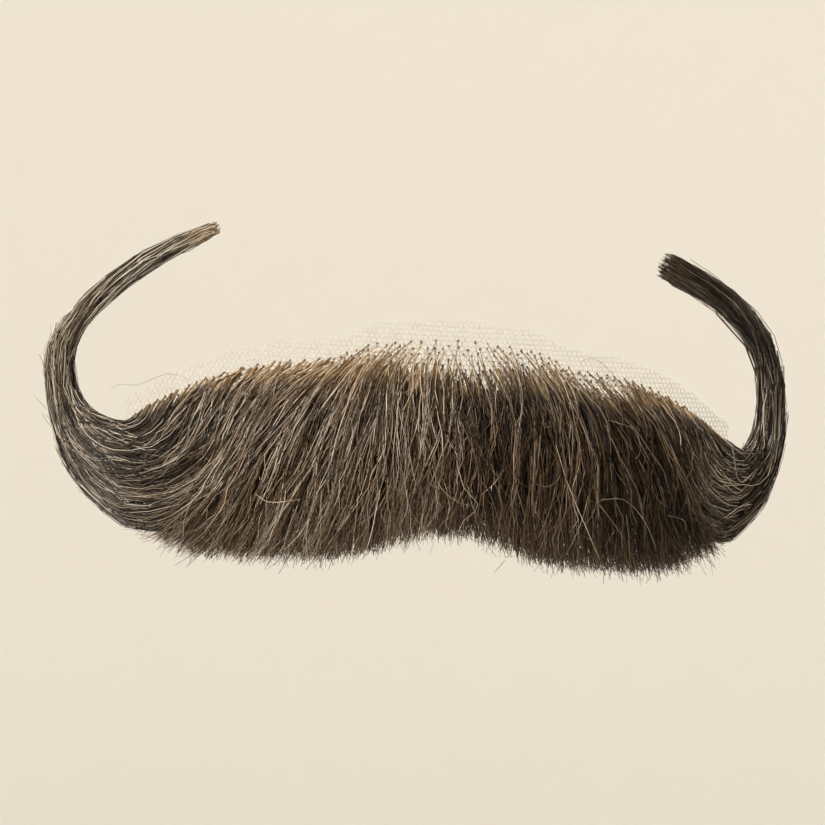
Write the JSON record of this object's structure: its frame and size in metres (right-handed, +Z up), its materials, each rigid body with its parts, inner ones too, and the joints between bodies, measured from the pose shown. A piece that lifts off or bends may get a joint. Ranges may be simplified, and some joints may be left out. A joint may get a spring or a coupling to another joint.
{
  "type": "false moustache with upturned tips",
  "caption": "Hand-knotted false moustache on a crescent of net, combed to both sides and waxed into two upturned curls.",
  "frame": {"origin": "middle of the net's back, where it is glued over the lip", "axes": "+X to the viewer's right across both curls, +Y back into the face, +Z up"},
  "size_m": [0.1321, 0.0336, 0.0585],
  "materials": {
    "net": "fine translucent hexagonal net, pale beige",
    "hair": "combed mid-brown hair with tan highlights and fair roots",
    "waxed_hair": "waxed brown hair drawn into a grooved sheaf"
  },
  "bodies": {
    "root": {"lace_net": "net", "wing_left": "hair", "wing_right": "hair", "curl_left": "waxed_hair", "curl_right": "waxed_hair"}
  },
  "joints": []
}
